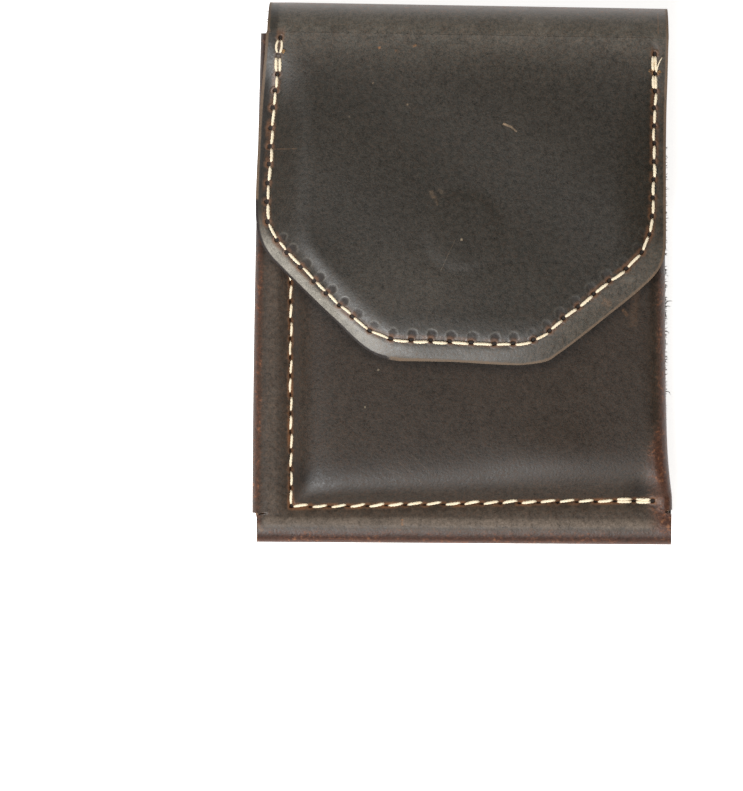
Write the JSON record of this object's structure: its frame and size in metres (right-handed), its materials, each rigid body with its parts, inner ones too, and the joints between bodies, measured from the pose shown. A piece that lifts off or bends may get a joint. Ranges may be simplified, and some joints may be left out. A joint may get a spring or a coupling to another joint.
{
  "type": "medieval belt pouch",
  "caption": "Flat belt pouch of dark oiled leather with a cut-cornered flap, rolled and hand-sewn left and bottom edges, a folded right edge and a belt loop behind.",
  "frame": {"origin": "middle of the pouch's outline, on the surface that it lies on", "axes": "+X across the pouch to the right, +Y up its height to the top fold, +Z through its thickness, from the belt side to the flap"},
  "size_m": [0.11, 0.1426, 0.0268],
  "materials": {
    "bag_leather": "satin",
    "flap_leather": "satin",
    "lining_leather": "matte",
    "loop_leather": "satin",
    "clasp_steel": "satin",
    "thread": "matte"
  },
  "bodies": {
    "root": {"bag_body": "bag_leather", "back_flap": "flap_leather", "flap_lining": "lining_leather", "belt_loop": "loop_leather", "clasp": "clasp_steel"}
  },
  "joints": []
}
